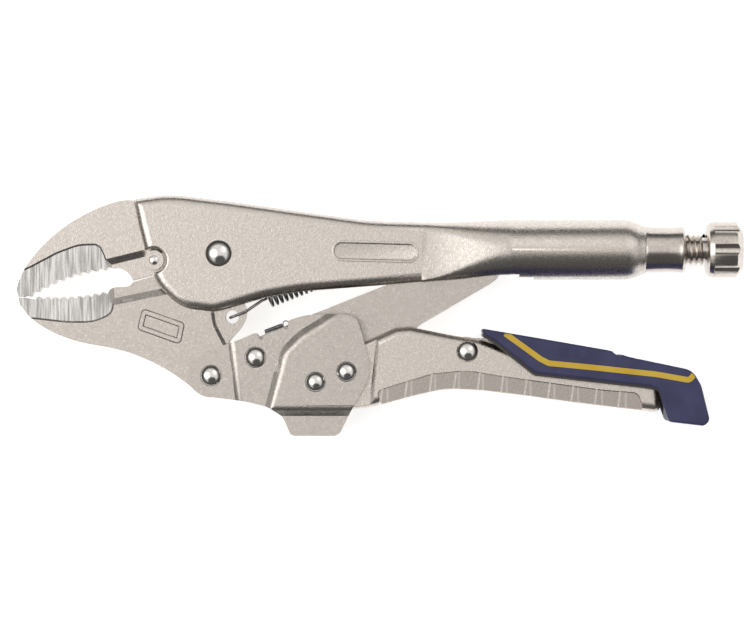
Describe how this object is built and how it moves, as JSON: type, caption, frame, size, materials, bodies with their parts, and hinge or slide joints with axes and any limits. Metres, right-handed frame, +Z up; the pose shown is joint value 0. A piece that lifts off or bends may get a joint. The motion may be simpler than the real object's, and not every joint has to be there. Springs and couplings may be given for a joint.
{
  "type": "locking pliers",
  "caption": "Locking pliers with curved toothed jaws, wire cutter, toggle linkage, adjusting screw and a cushioned release lever, lying closed on their side.",
  "frame": {"origin": "centre of the footprint on the surface the closed tool lies on, under the middle of its box", "axes": "+X from the jaw tips to the adjusting knob, +Y from the lower handle to the upper handle, +Z up out of the side of the tool"},
  "size_m": [0.251, 0.083, 0.0258],
  "materials": {
    "satin_nickel": "blasted steel under satin nickel plate",
    "turned_nickel": "turned steel under satin nickel plate",
    "polished_rivet": "polished domed rivet heads",
    "spring_steel": "dark plated spring wire",
    "yellow_moulding": "stiff yellow plastic",
    "blue_grip": "soft navy blue over-moulding"
  },
  "bodies": {
    "upper_handle": {"upper_handle": "satin_nickel", "main_pivot_rivet": "polished_rivet", "fixed_jaw": "satin_nickel", "fixed_jaw_pin": "polished_rivet", "screw_bush": "turned_nickel", "tension_spring": "spring_steel", "spring_anchor": "satin_nickel"},
    "lower_jaw": {"lower_jaw": "satin_nickel"},
    "lower_handle": {"lower_handle": "satin_nickel", "control_frame": "satin_nickel", "jaw_frame_rivet": "polished_rivet", "link_rivet": "polished_rivet", "frame_rivets": "polished_rivet", "release_rivet": "polished_rivet", "link_washers": "satin_nickel", "release_spacers": "satin_nickel", "return_spring": "spring_steel"},
    "toggle_link": {"toggle_link": "satin_nickel"},
    "release_lever": {"release_lever": "satin_nickel", "grip_core": "yellow_moulding", "grip_cover": "blue_grip"},
    "screw_nose": {"screw_nose": "turned_nickel"},
    "adjusting_screw": {"adjusting_screw": "turned_nickel"}
  },
  "joints": [
    {"name": "jaw_pivot", "type": "hinge", "parent": "upper_handle", "child": "lower_jaw", "pos_m": [-0.05565, 0.02135, 0.0129], "axis": [0, 0, 1], "range_deg": [0, 8], "deforming": ["tension_spring"]},
    {"name": "handle_pivot", "type": "hinge", "parent": "lower_jaw", "child": "lower_handle", "pos_m": [-0.05831, -0.02074, 0.0129], "axis": [0, 0, 1], "range_deg": [-52.7, 0]},
    {"name": "link_pivot", "type": "hinge", "parent": "lower_handle", "child": "toggle_link", "pos_m": [-0.04292, -0.01443, 0.0129], "axis": [0, 0, 1], "range_deg": [0, 52.7]},
    {"name": "release_pivot", "type": "hinge", "parent": "lower_handle", "child": "release_lever", "pos_m": [0.03001, -0.01239, 0.0129], "axis": [0, 0, 1], "range_deg": [-3, 0]},
    {"name": "screw_travel", "type": "slide", "parent": "upper_handle", "child": "screw_nose", "axis": [1, 0, 0], "range_m": [0, 0.018]},
    {"name": "screw_turn", "type": "hinge", "parent": "screw_nose", "child": "adjusting_screw", "pos_m": [0.08435, 0.0227, 0.0129], "axis": [1, 0, 0], "range_deg": [-3573.2, 0]}
  ],
  "couplings": [
    {"joint": "handle_pivot", "follows": "jaw_pivot", "ratio": -6.585},
    {"joint": "link_pivot", "follows": "jaw_pivot", "ratio": 6.583},
    {"joint": "screw_turn", "follows": "screw_travel", "rad_per_m": -3463.7}
  ]
}
